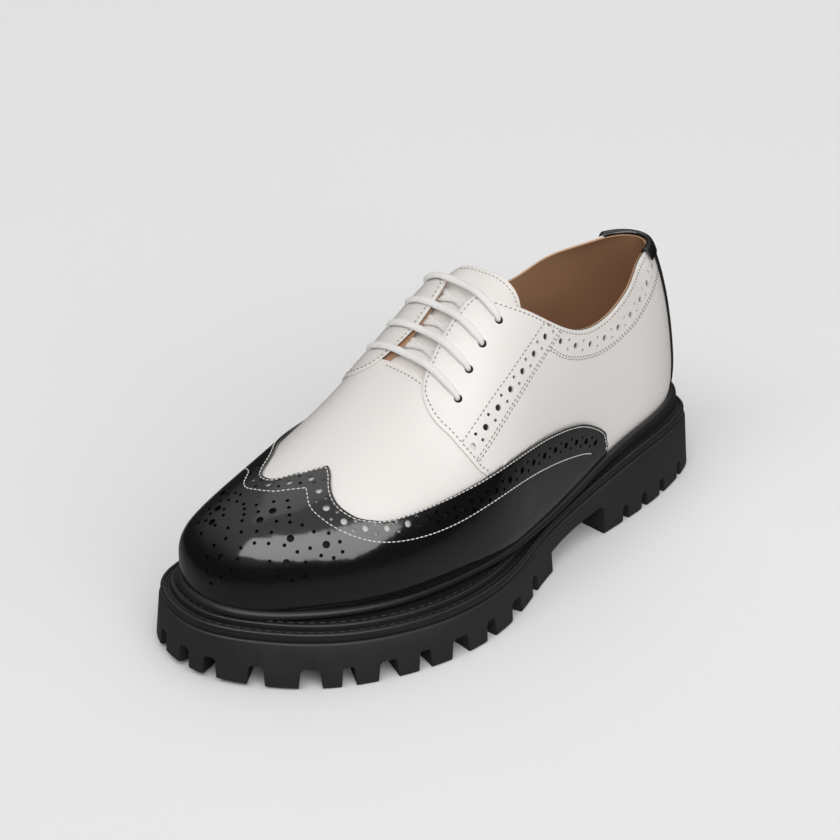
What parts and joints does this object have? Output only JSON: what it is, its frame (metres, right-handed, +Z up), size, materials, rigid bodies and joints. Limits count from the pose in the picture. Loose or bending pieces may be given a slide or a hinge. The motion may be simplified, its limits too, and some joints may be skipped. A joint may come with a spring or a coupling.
{
  "type": "spectator shoe",
  "caption": "Low laced spectator shoe in white and black leather with a perforated wing cap, storm bead and deeply lugged sole; left foot, standing empty",
  "frame": {"origin": "on the floor, under the middle of the shoe's box", "axes": "+Z up, toe towards -Y, heel towards +Y, +X towards the outer (lateral) side of the left foot"},
  "size_m": [0.1166, 0.2917, 0.1348],
  "materials": {
    "outsole": "matte black moulded rubber",
    "midsole": "satin black moulded ledge with stitching",
    "rand": "satin black storm bead",
    "upper": "smooth white leather, lightly polished, tan lining",
    "wing_cap": "black patent leather",
    "back_strip": "black patent leather",
    "tongue": "smooth white leather",
    "insole": "tan leather sock",
    "laces": "round white braided cotton"
  },
  "bodies": {
    "root": {"outsole": "outsole", "midsole": "midsole", "rand": "rand", "upper": "upper", "wing_cap": "wing_cap", "back_strip": "back_strip", "tongue": "tongue", "insole": "insole", "laces": "laces"}
  },
  "joints": []
}
